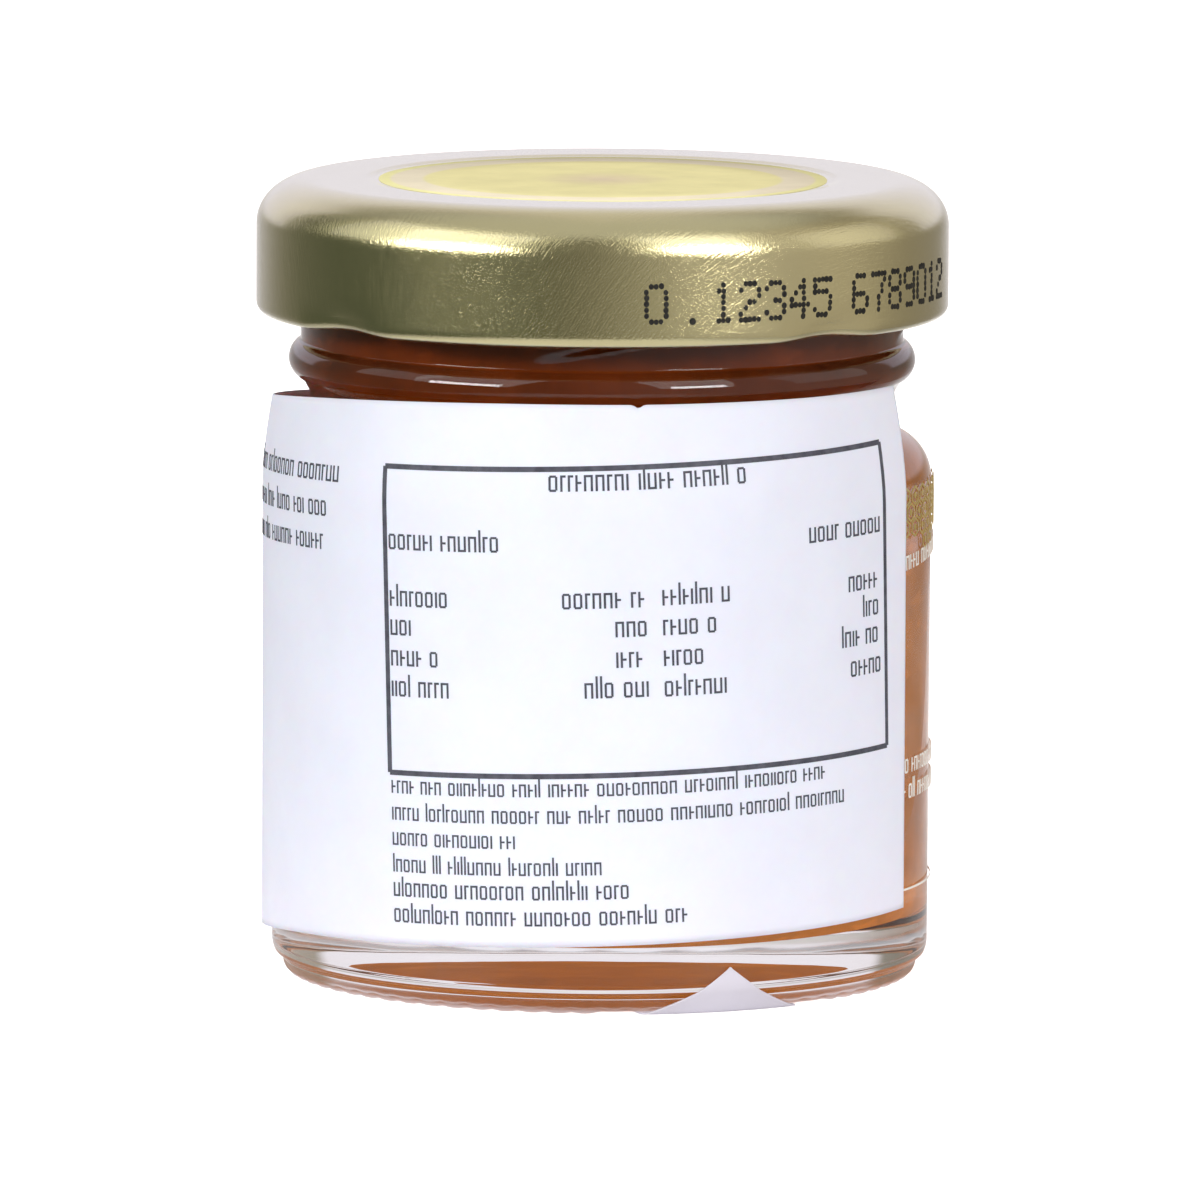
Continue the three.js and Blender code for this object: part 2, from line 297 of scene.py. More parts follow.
def place_on(owner):
    """Object coordinates X, Y and Z, in metres."""
    split = add(owner, "ShaderNodeSeparateXYZ")
    join(owner, add(owner, "ShaderNodeTexCoord").outputs["Object"], split.inputs[0])
    return split.outputs


def off_axis(owner, place):
    """Distance from the jar's axis, in metres."""
    squares = [math_node(owner, "MULTIPLY", place[key], place[key]) for key in "XY"]
    return math_node(owner, "SQRT", math_node(owner, "ADD", *squares))


def bump(owner, height, distance, strength=1.0):
    node = add(owner, "ShaderNodeBump")
    for key, value in (("Strength", strength), ("Distance", distance), ("Height", height)):
        join(owner, value, node.inputs[key])
    return node.outputs["Normal"]


STIPPLE = dict(top=0.95, inner=19.9, roughness=0.32)
# the painted glow on the foot of the ring: where it is full, where it ends, and its colour
PAINTED_RING_GLOW = dict(full=0.15, end=0.5, light=(0.27, 0.31, 0.35, 1))
CLEAR = (0.965, 0.96, 0.93, 1)
# the greyer glass under the painted glow on the foot of the ring
PAINTED_GLOW_GREY = (0.72, 0.72, 0.72, 1)

glass = shader("clear_glass", IOR=1.5, Transmission_Weight=1.0, Emission_Color=PAINTED_RING_GLOW["light"])
feed(glass, Normal=bump(glass, noise(glass, 140, 2.0), 0.02 * MM))
light_path = add(glass, "ShaderNodeLightPath")
let_through = math_node(glass, "MULTIPLY", light_path.outputs["Is Shadow Ray"], 0.85)
feed(glass, Alpha=math_node(glass, "SUBTRACT", 1.0, let_through))
# the mould is stippled on the outer edge of the ring
place = place_on(glass)
low_down = math_node(glass, "LESS_THAN", place["Z"], STIPPLE["top"] * MM)
far_out = math_node(glass, "GREATER_THAN", off_axis(glass, place), STIPPLE["inner"] * MM)
stippled = math_node(glass, "MULTIPLY", low_down, far_out)
feed(glass, Roughness=math_node(glass, "MULTIPLY", stippled, STIPPLE["roughness"]))
# and there a painted glow, a pale emission over greyer glass, stands in for the light of the table seen
# through it
foot = soft_range(glass, place["Z"], PAINTED_RING_GLOW["full"] * MM, PAINTED_RING_GLOW["end"] * MM, 1.0, 0.0)
painted_ring_glow = math_node(glass, "MULTIPLY", foot, far_out)
feed(glass, Emission_Strength=painted_ring_glow)
feed(glass, Base_Color=mixed(glass, CLEAR, PAINTED_GLOW_GREY, painted_ring_glow, "MIX"))
corners, faces = turned(glass_profile(), AROUND, glass_relief)
finished("jar_glass", corners, faces, glass, "glass_jar")

# Marmalade
# Dense orange preserve with fine shreds of peel, filled hot to just under the
# rim, so that it wets the glass all over. It reaches a hair into the wall and,
# being wet against it, has no gloss of its own.

WET = 0.07
FILL_LEVEL = 48.0
CREEP = 0.3
FILL_AROUND = 288
# how high the painted glow at the underside reaches, and how strong it is
PAINTED_UNDERGLOW = dict(full=4.8, end=8.0, strength=0.3)


def fill_profile():
    """It creeps up the glass a little at its edge."""
    i = INSIDE
    wide, bore = i["radius"] + WET, i["bore"] + WET
    floor, corner = i["floor"] - WET, i["corner"] + WET
    edge = wide - corner
    points = domed(np.linspace(0, edge, 8)[:-1], edge, floor, i["dome"])
    points += arc(edge, floor + corner, corner, corner, -90, 0, 12)
    points += line(points[-1], (wide, i["shoulder_foot"]), 10)
    points += reversed(inner_shoulder(bore, wide)[:-1])
    points += line(points[-1], (bore, FILL_LEVEL + CREEP), 14)
    points.append((bore - CREEP, FILL_LEVEL + 0.05))
    return points + [(r, FILL_LEVEL) for r in (bore - 1.0, bore * 0.5, 0)]


marmalade = shader("marmalade", Roughness=0.35, IOR=1.45, Specular_IOR_Level=0.0)
height = place_on(marmalade)["Z"]
# it lies deeper in shade towards the neck, and is a little lighter again inside the lid
by_height = ramp(marmalade, math_node(marmalade, "DIVIDE", height, FILL_LEVEL * MM), [
    (0.64, colour(196, 118, 40)),
    (0.75, colour(140, 76, 26)),
    (0.80, colour(84, 38, 15)),
    (0.835, colour(78, 35, 15)),
    (0.852, colour(119, 50, 13)),
])
cloud = ramp(marmalade, noise(marmalade, 260, 5.0, 0.6), [(0.3, 0.80), (0.7, 1.12)])
shreds = ramp(marmalade, noise(marmalade, 420, 2.0, 0.4, (1, 1, 2.6)), [(0.56, 1.0), (0.66, 1.18)])
preserve = mixed(marmalade, mixed(marmalade, by_height, cloud), shreds)
feed(marmalade, Base_Color=preserve)
# a painted glow in the preserve's own colour at its underside stands in for light that has come through it
painted_underglow = soft_range(marmalade, height, PAINTED_UNDERGLOW["full"] * MM, PAINTED_UNDERGLOW["end"] * MM, PAINTED_UNDERGLOW["strength"], 0.0)
feed(marmalade, Emission_Color=preserve)
feed(marmalade, Emission_Strength=painted_underglow)
feed(marmalade, Normal=bump(marmalade, noise(marmalade, 420, 3.0), 0.15 * MM, 0.4))
corners, faces = turned(fill_profile(), FILL_AROUND)
finished("marmalade_fill", corners, faces, marmalade, "marmalade")

# Lid
# A twist-off lid pressed from one disc of tinplate: a sunk panel, a round
# shoulder, a skirt rolled under at its edge and pushed in at four places to make
# the lugs. It is lacquered gold, with a pale yellow disc printed on the panel.

LID = dict(radius=22.8, top=52.6, foot=43.7, sheet=0.4, wide=3.5, high=3.0, curl=0.75)
PANEL = dict(radius=14.95, depth=0.14, step=0.4, brink=0.35, brink_depth=0.01)
LUGS = dict(deg=-49.0, half_deg=12.0, top=46.4, dent=0.4, lift=0.25, inner=20.6)
LID_AROUND = 432
GRAIN = dict(turned_deg=50.0, long=14, streaks=5200, specks=7600, depth=0.018)


def lid_profile():
    """Up inside, round the curl and over the outside to the panel."""
    d, p = LID, PANEL
    panel, crest, shoulder = d["top"] - p["depth"], d["radius"] - d["wide"], d["top"] - d["high"]
    step_out = p["radius"] + p["step"]
    inside = [(r, panel - d["sheet"]) for r in (0, 7, p["radius"])]
    inside += line(inside[-1], (step_out + 0.2, d["top"] - 0.08 - d["sheet"]), 3)
    inside += arc(crest, shoulder, d["wide"] - d["sheet"], d["high"] - d["sheet"], 90, 0, 12)
    inside += line(inside[-1], (d["radius"] - d["sheet"], LUGS["top"]), 6)
    rolled = arc(d["radius"] - d["curl"], d["foot"] + d["curl"], d["curl"], d["curl"], -240, 0, 20)
    skirt = line(rolled[-1], (d["radius"], shoulder), 22)[:-1]
    outside = arc(crest, shoulder, d["wide"], d["high"], 0, 90, 22)
    brink, brink_height = step_out + p["brink"], d["top"] - p["brink_depth"]
    outside += line(outside[-1], (brink, brink_height), 4)
    wide, deep = p["step"] + p["brink"], p["depth"] - p["brink_depth"]
    outside += [(brink - wide * t, brink_height - deep * smooth(t)) for t in np.linspace(0, 1, 9)[1:]]
    outside += [(r, panel) for r in (12, 8, 4, 0)]
    return inside + rolled + skirt + outside


def lug_relief(angle, radius, height):
    """The edge is pushed in and up at each lug."""
    turned_off = (np.degrees(angle) - LUGS["deg"] + 45) % 90 - 45
    off = np.clip(np.abs(turned_off) / LUGS["half_deg"], 0, 1)
    across = np.cos(off * math.pi / 2) ** 2
    down = np.clip((LUGS["top"] - height) / (LUGS["top"] - LID["foot"] - LID["curl"]), 0, 1)
    pushed = across * down**1.8 * (radius > LUGS["inner"])
    return radius - LUGS["dent"] * pushed, height + LUGS["lift"] * pushed


def new_group(name, kind, inputs, outputs):
    """A node group with its named sockets; each socket is given with its type."""
    group = bpy.data.node_groups.new(name, kind)
    for in_out, sockets in (("INPUT", inputs), ("OUTPUT", outputs)):
        for socket, socket_type in sockets.items():
            group.interface.new_socket(socket, in_out=in_out, socket_type="NodeSocket" + socket_type)
    return group, add(group, "NodeGroupInput").outputs, add(group, "NodeGroupOutput").inputs


def mottle_group():
    """Two near shades that drift into each other, as in lacquer, ink and paper."""
    sizes = dict(Scale="Float", Detail="Float", Roughness="Float", Dark="Color", Light="Color")
    group, given, made = new_group("mottle", "ShaderNodeTree", sizes, dict(Shade="Color"))
    place = add(group, "ShaderNodeTexCoord").outputs["Object"]
    patches = noise_on(group, place, given["Scale"], given["Detail"], given["Roughness"])
    share = ramp(group, patches, [(0.3, 0.0), (0.7, 1.0)])
    join(group, mixed(group, given["Dark"], given["Light"], share, "MIX"), made["Shade"])
    return group


MOTTLE = mottle_group()


def placed(material, group, **values):
    """A node group in a material, with its own values."""
    node = add(material, "ShaderNodeGroup", node_tree=group)
    for key, value in values.items():
        join(material, value, node.inputs[key])
    return node.outputs


def mottled(material, dark, light, scale, detail=2.0, roughness=0.5):
    values = dict(Scale=scale, Detail=detail, Roughness=roughness, Dark=dark, Light=light)
    return placed(material, MOTTLE, **values)["Shade"]


gold = shader("gold_lacquer", Metallic=1.0, Coat_Weight=1.0, Coat_Roughness=0.1)
# rolling marks of the flat sheet, which bend over the shoulder with it
place = place_on(gold)
from_axis = off_axis(gold, place)
on_sheet = math_node(gold, "ADD", from_axis, math_node(gold, "SUBTRACT", LID["top"] * MM, place["Z"]))
spread = math_node(gold, "DIVIDE", on_sheet, math_node(gold, "MAXIMUM", from_axis, 1 * MM))
flat_sheet = add(gold, "ShaderNodeCombineXYZ")
for key in "XY":
    join(gold, math_node(gold, "MULTIPLY", place[key], spread), flat_sheet.inputs[key])
along_grain = add(gold, "ShaderNodeMapping", vector_type="TEXTURE")
join(gold, flat_sheet.outputs[0], along_grain.inputs["Vector"])
join(gold, (0, 0, math.radians(GRAIN["turned_deg"])), along_grain.inputs["Rotation"])
join(gold, (GRAIN["long"], 1, 1), along_grain.inputs["Scale"])
streaks = noise_on(gold, along_grain.outputs["Vector"], GRAIN["streaks"], 3, 0.65)
grain = math_node(gold, "ADD", streaks, noise(gold, GRAIN["specks"], 2.0, 0.6))
lacquer = mottled(gold, (0.61, 0.545, 0.29, 1), (0.66, 0.59, 0.325, 1), 60, 4.0, 0.6)
feed(gold, Base_Color=lacquer)
feed(gold, Roughness=ramp(gold, streaks, [(0.3, 0.15), (0.7, 0.22)]))
feed(gold, Normal=bump(gold, grain, GRAIN["depth"] * MM))
corners, faces = turned(lid_profile(), LID_AROUND, lug_relief)
lid_piece = finished("twist_lid", corners, faces, gold, "lid")

# The disc on the panel is a matt print: a pinkish middle, a broad pale yellow
# band, a pinkish ring and a yellow line at its edge.
DISC_RADIUS = 14.75
PRINT_GAP = 0.005
PRINT_THICK = 0.02
yellow_print = shader("yellow_print", Roughness=0.5, Specular_IOR_Level=0.0)
from_axis = off_axis(yellow_print, place_on(yellow_print))
rings = ramp(yellow_print, math_node(yellow_print, "DIVIDE", from_axis, DISC_RADIUS * MM), [
    (0.0, colour(226, 208, 178)),
    (0.22, colour(232, 220, 172)),
    (0.32, colour(238, 228, 172)),
    (0.79, colour(238, 228, 172)),
    (0.81, colour(238, 226, 200)),
    (0.94, colour(238, 226, 200)),
    (0.955, colour(240, 233, 174)),
])
blotches = ramp(yellow_print, noise(yellow_print, 320, 4.0, 0.6), [(0.3, 0.94), (0.7, 1.03)])
feed(yellow_print, Base_Color=mixed(yellow_print, rings, blotches))
panel_top = LID["top"] - PANEL["depth"]
disc_profile = [(r, panel_top + PRINT_GAP) for r in (0, 5, 10, DISC_RADIUS)]
disc_profile += [(r, panel_top + PRINT_THICK) for r in (DISC_RADIUS, 10, 5, 0)]
corners, faces = turned(disc_profile, LID_AROUND // 2)
finished("lid_printed_disc", corners, faces, yellow_print, None)

# The dot-printed counting numbers on the side of the lid are drops of black ink.
# They are laid out flat and then brought onto the round side.

INK_ROWS = {
    "0": "01110 10001 10001 10001 10001 10001 01110",
    "1": "00100 01100 00100 00100 00100 00100 01110",
    "2": "01110 10001 00001 00110 01000 10000 11111",
    "3": "01110 10001 00001 00110 00001 10001 01110",
    "4": "00010 00110 01010 10010 11111 00010 00010",
    "5": "11111 10000 11110 00001 00001 10001 01110",
    "6": "01110 10000 10000 11110 10001 10001 01110",
    "7": "11111 00001 00010 00010 00100 00100 00100",
    "8": "01110 10001 10001 01110 10001 10001 01110",
    "9": "01110 10001 10001 01111 00001 00001 01110",
}
# how far in the marks are sent, in mm, to land on what carries them
REACH_IN = 20.0


def attribute(tree, name):
    """A vector that each point of the places carries."""
    node = add(tree, "GeometryNodeInputNamedAttribute", data_type="FLOAT_VECTOR")
    join(tree, name, node.inputs["Name"])
    return node.outputs["Attribute"]


def object_in(tree, given):
    node = add(tree, "GeometryNodeObjectInfo")
    join(tree, given, node.inputs["Object"])
    return node.outputs["Geometry"]


def vector(tree, **parts):
    node = add(tree, "ShaderNodeCombineXYZ")
    for key, value in parts.items():
        join(tree, value, node.inputs[key])
    return node.outputs[0]


def scaled(tree, direction, factor):
    node = add(tree, "ShaderNodeVectorMath", operation="SCALE")
    join(tree, direction, node.inputs[0])
    join(tree, factor, node.inputs["Scale"])
    return node.outputs[0]


def added(tree, a, b):
    node = add(tree, "ShaderNodeVectorMath", operation="ADD")
    join(tree, a, node.inputs[0])
    join(tree, b, node.inputs[1])
    return node.outputs[0]


def wrapping_tree():
    """Flat marks, x along the girth and z up, instanced and brought onto a round surface."""
    inputs = dict(
        Places="Geometry", Mark="Object", Carrier="Object", Radius="Float", Lift="Float", Ink="Material")
    tree, given, made = new_group("marks_on_round", "GeometryNodeTree", inputs, dict(Marks="Geometry"))
    points = add(tree, "GeometryNodeInstanceOnPoints")
    join(tree, given["Places"], points.inputs["Points"])
    join(tree, object_in(tree, given["Mark"]), points.inputs["Instance"])
    join(tree, attribute(tree, "size"), points.inputs["Scale"])
    join(tree, attribute(tree, "lean"), points.inputs["Rotation"])
    real = add(tree, "GeometryNodeRealizeInstances")
    join(tree, points.outputs["Instances"], real.inputs["Geometry"])

    # each corner is set off outside the carrier and sent straight in, until it lands there
    flat = add(tree, "ShaderNodeSeparateXYZ")
    join(tree, add(tree, "GeometryNodeInputPosition").outputs["Position"], flat.inputs[0])
    angle = math_node(tree, "DIVIDE", flat.outputs["X"], given["Radius"])
    forward = math_node(tree, "MULTIPLY", math_node(tree, "COSINE", angle), -1.0)
    outward = vector(tree, X=math_node(tree, "SINE", angle), Y=forward)
    far_off = scaled(tree, outward, math_node(tree, "MULTIPLY", given["Radius"], 1.2))
    cast = add(tree, "GeometryNodeRaycast")
    join(tree, object_in(tree, given["Carrier"]), cast.inputs["Target Geometry"])
    join(tree, added(tree, far_off, vector(tree, Z=flat.outputs["Z"])), cast.inputs["Source Position"])
    join(tree, scaled(tree, outward, -1.0), cast.inputs["Ray Direction"])
    join(tree, REACH_IN * MM, cast.inputs["Ray Length"])
    proud = scaled(tree, outward, math_node(tree, "SUBTRACT", given["Lift"], flat.outputs["Y"]))
    landed = added(tree, cast.outputs["Hit Position"], proud)

    # what misses the carrier is marked before the corners move, and then dropped
    missed = add(tree, "FunctionNodeBooleanMath", operation="NOT")
    join(tree, cast.outputs["Is Hit"], missed.inputs[0])
    kept = add(tree, "GeometryNodeCaptureAttribute", domain="POINT")
    kept.capture_items.new("BOOLEAN", "Missed")
    join(tree, real.outputs["Geometry"], kept.inputs["Geometry"])
    join(tree, missed.outputs[0], kept.inputs["Missed"])
    moved = add(tree, "GeometryNodeSetPosition")
    join(tree, kept.outputs["Geometry"], moved.inputs["Geometry"])
    join(tree, landed, moved.inputs["Position"])
    drop = add(tree, "GeometryNodeDeleteGeometry")
    join(tree, moved.outputs["Geometry"], drop.inputs["Geometry"])
    join(tree, kept.outputs["Missed"], drop.inputs["Selection"])
    inked = add(tree, "GeometryNodeSetMaterial")
    join(tree, drop.outputs["Geometry"], inked.inputs["Geometry"])
    join(tree, given["Ink"], inked.inputs["Material"])
    join(tree, inked.outputs["Geometry"], made["Marks"])
    return tree


WRAPPED = wrapping_tree()


def flat_mark(name, outlines, thick_mm=0.03):
    """Thin closed plates with convex outlines, counterclockwise (x, z) pairs in mm."""
    corners, faces = [], []
    for outline in outlines:
        first, n = len(corners), len(outline)
        corners += [(x * MM, 0, z * MM) for x, z in outline]
        corners += [(x * MM, thick_mm * MM, z * MM) for x, z in outline]
        faces.append(tuple(first + i for i in range(n)))
        faces.append(tuple(first + n + i for i in reversed(range(n))))
        faces += [(first + (i + 1) % n, first + i, first + n + i, first + n + (i + 1) % n) for i in range(n)]
    mesh = bpy.data.meshes.new(name)
    mesh.from_pydata(corners, [], faces)
    return bpy.data.objects.new(name, mesh)


def brought_round(name, marks, carrier, radius_mm, lift_mm, ink):
    """Marks laid on the carrier as one piece: pairs of a mark and its places, which are
    given in mm as x, z, width, height, and a turn in radians."""
    corners, faces = [], []
    for mark, places in marks:
        mesh = bpy.data.meshes.new(name)
        mesh.from_pydata([(p[0] * MM, 0, p[1] * MM) for p in places], [], [])
        size = mesh.attributes.new("size", "FLOAT_VECTOR", "POINT")
        size.data.foreach_set("vector", [v for p in places for v in (p[2], 1.0, p[3])])
        lean = mesh.attributes.new("lean", "FLOAT_VECTOR", "POINT")
        lean.data.foreach_set("vector", [v for p in places for v in (0.0, -p[4], 0.0)])
        holder = bpy.data.objects.new(name, mesh)
        bpy.context.scene.collection.objects.link(holder)
        modifier = holder.modifiers.new("wrap", "NODES")
        modifier.node_group = WRAPPED
        values = dict(Mark=mark, Carrier=carrier, Radius=radius_mm * MM, Lift=lift_mm * MM, Ink=ink)
        for item in WRAPPED.interface.items_tree:
            if item.name in values:
                modifier[item.identifier] = values[item.name]
        bpy.context.view_layer.update()
        graph = bpy.context.evaluated_depsgraph_get()
        laid = bpy.data.meshes.new_from_object(holder.evaluated_get(graph))
        bpy.data.objects.remove(holder)
        first = len(corners)
        corners += [tuple(v.co) for v in laid.vertices]
        faces += [tuple(first + i for i in p.vertices) for p in laid.polygons]
    return finished(name, corners, faces, ink, None, rounded=False)


def disc(sides, wide, high):
    turns = [2 * math.pi * i / sides for i in range(sides)]
    return [(wide / 2 * math.cos(turn), high / 2 * math.sin(turn)) for turn in turns]


CODE_FOOT = 45.5
CODE_PITCH = 1.86
CODE_COLUMN = 0.32
CODE_ROW = 0.385
CODE_GROUPS = [(2.85, "0"), (7.35, "12345"), (18.2, "6789012")]
CODE_POINT = (5.9, CODE_FOOT, 1.3, 1.2, 0.0)
DROP = dict(wide=0.34, high=0.39, off_x=0.02, off_z=0.025)


def code_places():
    rng = random.Random(4)
    cells = []
    for start, digits in CODE_GROUPS:
        for n, digit in enumerate(digits):
            for row, dots in enumerate(INK_ROWS[digit].split()):
                left, level = start + n * CODE_PITCH, CODE_FOOT + (6 - row) * CODE_ROW
                cells += [(left + column * CODE_COLUMN, level) for column in range(5) if dots[column] == "1"]
    places = []
    for x, z in cells:
        x += rng.uniform(-DROP["off_x"], DROP["off_x"])
        z += rng.uniform(-DROP["off_z"], DROP["off_z"])
        size = rng.uniform(0.9, 1.1)
        places.append((x, z, size, size, 0.0))
    return places + [CODE_POINT]


black_ink = shader("black_drop_ink", Roughness=0.6, Specular_IOR_Level=0.15)
blacks = mottled(black_ink, (0.012, 0.011, 0.01, 1), (0.03, 0.028, 0.022, 1), 3000)
feed(black_ink, Base_Color=blacks)
ink_drop = flat_mark("ink_drop", [disc(12, DROP["wide"], DROP["high"])])
code_marks = [(ink_drop, code_places())]
brought_round("lid_counting_numbers", code_marks, lid_piece, LID["radius"], 0.02, black_ink)

# Film label
# A clear glossy film glued round the body, with a short gap where its ends
# meet. It carries a gold lattice at the top, white marks and a line at the foot.

FILM = dict(thick=0.1, gap=0.06, foot=5.7, top=33.3, start=-18.0, span=348.0)
# the radius at which lengths along the film are measured
FILM_GIRTH = 21.9


def body_radius(height):
    b = BODY
    up = np.clip(height - b["top"], 0, b["shoulder"])
    rounded = b["radius"] - b["shoulder"] + np.sqrt(b["shoulder"] ** 2 - up**2)
    slope = (b["radius"] - b["foot"]) / (b["top"] - b["foot_height"])
    straight = b["foot"] + slope * (height - b["foot_height"])
    return np.where(height > b["top"], rounded, straight)


def bent_sheet(columns, rows, place):
    """A thin closed sheet. place(u, v, side) gives its corners: u and v run from 0 to 1, and
    side is 1 on its outer face and 0 on its inner one."""
    u, v = np.meshgrid(np.linspace(0, 1, columns + 1), np.linspace(0, 1, rows + 1), indexing="ij")
    corners = np.concatenate([place(u, v, 1.0).reshape(-1, 3), place(u, v, 0.0).reshape(-1, 3)]).tolist()
    half = (columns + 1) * (rows + 1)

    def at(i, j):
        return i * (rows + 1) + j

    faces = []
    for i in range(columns):
        for j in range(rows):
            a, b, c, d = at(i, j), at(i + 1, j), at(i + 1, j + 1), at(i, j + 1)
            faces.append((a, b, c, d))
            faces.append((half + d, half + c, half + b, half + a))
    for i in range(columns):
        faces.append((at(i, 0), half + at(i, 0), half + at(i + 1, 0), at(i + 1, 0)))
        faces.append((at(i + 1, rows), half + at(i + 1, rows), half + at(i, rows), at(i, rows)))
    for j in range(rows):
        faces.append((at(0, j + 1), half + at(0, j + 1), half + at(0, j), at(0, j)))
        last = at(columns, j)
        faces.append((last, half + last, half + last + 1, last + 1))
    return corners, faces


def film_place(u, v, side):
    height = FILM["foot"] + (FILM["top"] - FILM["foot"]) * v
    angle = np.radians(FILM["start"] + FILM["span"] * u)
    return on_round(angle, body_radius(height) + FILM["gap"] + FILM["thick"] * side, height)


film = shader("clear_film", Roughness=0.08, IOR=1.45, Base_Color=(1, 1, 1, 1))
feed(film, Normal=bump(film, noise(film, 500, 2.0), 0.02 * MM, 0.5))
feed(film, Alpha=ramp(film, noise(film, 300, 3.0), [(0.3, 0.015), (0.7, 0.045)]))
corners, faces = bent_sheet(300, 20, film_place)
film_piece = finished("clear_film_label", corners, faces, film, "film_label")

gold_ink = shader("gold_print", Roughness=0.4, Metallic=0.6)
golds = mottled(gold_ink, colour(196, 170, 92), colour(218, 196, 122), 1200)
feed(gold_ink, Base_Color=golds)
white_ink = shader("white_print", Roughness=0.5)
whites = mottled(white_ink, colour(232, 226, 216), colour(246, 242, 236), 900)
feed(white_ink, Base_Color=whites)


def ring_outlines(sides, wide, high, stroke, turn=0.0):
    """A ring as one small four-sided plate for each of its sides."""
    outer, inner = [], []
    for i in range(sides):
        a = turn + 2 * math.pi * i / sides
        outer.append((wide / 2 * math.cos(a), high / 2 * math.sin(a)))
        inner.append(((wide / 2 - stroke) * math.cos(a), (high / 2 - stroke) * math.sin(a)))
    return [(outer[i], outer[(i + 1) % sides], inner[(i + 1) % sides], inner[i]) for i in range(sides)]


def bar(x0, z0, x1, z1):
    return [(x0, z0), (x1, z0), (x1, z1), (x0, z1)]


# strokes of the print on the film and on the paper, x to the right and z up, one high
PEN = 0.15
FLAT = 0.095
LOW = 0.7
NEXT = 0.44
POSTS = [bar(0, 0, PEN, LOW), bar(NEXT, 0, NEXT + PEN, LOW)]
LOOP_SIDES = [bar(0, 0.06, PEN, 0.64), bar(NEXT, 0.06, NEXT + PEN, 0.64)]
STROKES = {
    "post": [bar(0, 0, PEN, 1.0)],
    "stub": [bar(0, 0, PEN, LOW)],
    "arch": [*POSTS, bar(PEN, LOW - FLAT, NEXT, LOW)],
    "cup": [*POSTS, bar(PEN, 0, NEXT, FLAT)],
    "loop": [*LOOP_SIDES, bar(0.07, 0, 0.5, FLAT), bar(0.07, LOW - FLAT, 0.5, LOW)],
    "branch": [bar(0, 0, PEN, LOW), bar(PEN, 0.32, 0.4, 0.32 + FLAT)],
    "hook": [bar(0, 0, PEN, LOW), bar(PEN, LOW - FLAT, 0.36, LOW)],
}
WIDTHS = {"post": 0.3, "stub": 0.3, "arch": 0.76, "cup": 0.76, "loop": 0.78, "branch": 0.56, "hook": 0.5}
# how often each kind comes is how often it is named here
KINDS = ("loop", "arch", "cup", "branch", "hook", "stub", "post", "loop", "arch", "branch")
WORD_SPACE = 0.34


def row_of_strokes(rng, start, end, tall, narrow):
    """Plain strokes in groups of uneven length, each as its kind and x."""
    row = []
    x = start
    word = rng.randint(4, 9)
    done = 0
    while True:
        kind = rng.choice(KINDS)
        if x + WIDTHS[kind] * narrow > end + 0.15:
            return row
        row.append((kind, x))
        x += WIDTHS[kind] * narrow
        done += 1
        if done >= word:
            x += WORD_SPACE * tall
            word = rng.randint(3, 9)
            done = 0


LATTICE = dict(pitch=1.62, row_pitch=1.05, rows=3, below_top=0.75)
LOZENGE = dict(wide=1.5, high=1.35, stroke=0.17, heart=0.5)
FILM_PRINT_LIFT = 0.025
# stretches of the film in degrees round the jar, with each white row's height and climb
WHITE_ROWS = [
    (60, 108, ((27.6, 0.06), (14.3, 0.0), (12.6, 0.0))),
    (124, 212, ((27.6, 0.06), (25.8, 0.0), (14.3, 0.0), (12.6, 0.0))),
]
WHITE_TALL = 1.35
WHITE_NARROW = 0.95
FOOT_LINE = dict(height=6.6, steps=260, half=0.07)


def along_film(degrees):
    """Length along the film's girth, in mm."""
    return math.radians(degrees) * FILM_GIRTH


def lattice_places():
    """Two columns in every five reach one row further down."""
    places = []
    count = int(along_film(FILM["span"] - 6) / LATTICE["pitch"])
    first = along_film(FILM["start"] + 3)
    for i in range(count):
        rows = LATTICE["rows"] + (1 if i % 5 in (1, 2) else 0)
        for j in range(rows):
            x = first + (i + 0.5 * (j % 2)) * LATTICE["pitch"]
            z = FILM["top"] - LATTICE["below_top"] - j * LATTICE["row_pitch"]
            places.append((x, z, 1.0, 1.0, 0.0))
    return places


def white_places():
    """Rows of strokes in two stretches of the film."""
    rng = random.Random(11)
    found = {kind: [] for kind in STROKES}
    for start_deg, end_deg, rows in WHITE_ROWS:
        start, end = along_film(start_deg), along_film(end_deg)
        for level, slope in rows:
            for kind, x in row_of_strokes(rng, start, end, WHITE_TALL, WHITE_NARROW):
                place = (x, level + slope * (x - start), WHITE_NARROW, WHITE_TALL, slope)
                found[kind].append(place)
    return found


outlines = ring_outlines(6, LOZENGE["wide"], LOZENGE["high"], LOZENGE["stroke"], math.pi / 2)
lozenge = flat_mark("lozenge", outlines)
lozenge_heart = flat_mark("lozenge_heart", [disc(6, LOZENGE["heart"], LOZENGE["heart"])])
marks = [(lozenge, lattice_places()), (lozenge_heart, lattice_places())]
brought_round("film_gold_lattice", marks, film_piece, FILM_GIRTH, FILM_PRINT_LIFT, gold_ink)

marks = [(flat_mark("white_" + kind, STROKES[kind]), places) for kind, places in white_places().items()]
line_start = along_film(FILM["start"] + 1)
dash = along_film(FILM["span"] - 2) / FOOT_LINE["steps"]
dash_mark = flat_mark("white_dash", [bar(-dash / 2, -FOOT_LINE["half"], dash / 2, FOOT_LINE["half"])])
dash_middles = [line_start + dash * (i + 0.5) for i in range(FOOT_LINE["steps"])]
marks.append((dash_mark, [(x, FOOT_LINE["height"], 1.0, 1.0, 0.0) for x in dash_middles]))
brought_round("film_white_marks", marks, film_piece, FILM_GIRTH, FILM_PRINT_LIFT, white_ink)

# Paper label
# White coated paper, stuck on by hand a little crooked, over the film at the
# front and on the left. Its upper edge stands free of the shoulder. It is
# printed in thin dark grey: a ruled box and rows of plain strokes.

